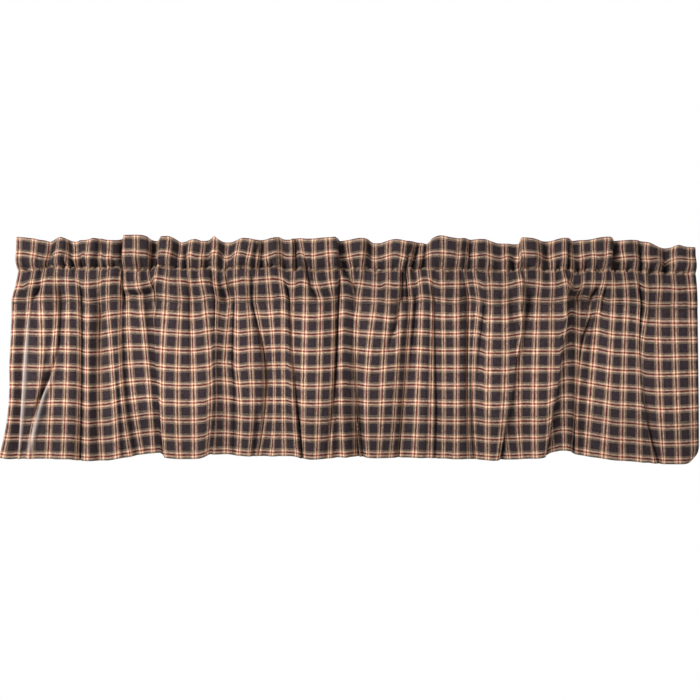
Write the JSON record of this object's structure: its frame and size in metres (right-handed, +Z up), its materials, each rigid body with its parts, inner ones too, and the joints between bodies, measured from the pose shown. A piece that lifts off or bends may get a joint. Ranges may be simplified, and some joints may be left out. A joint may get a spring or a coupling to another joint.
{
  "type": "window valance",
  "caption": "Gathered window valance of woven checked cotton, with a standing ruffle above an open rod pocket and a softly folded, hemmed drop.",
  "frame": {"origin": "middle of the open rod pocket: on the rod's axis, half way along it", "axes": "+X along the rod to the viewer's right, +Z up, and the front of the cloth faces -Y"},
  "size_m": [1.2433, 0.0517, 0.4072],
  "materials": {
    "check_cotton": "matt plain-woven cotton"
  },
  "bodies": {
    "root": {"heading": "check_cotton", "drop": "check_cotton"}
  },
  "joints": []
}
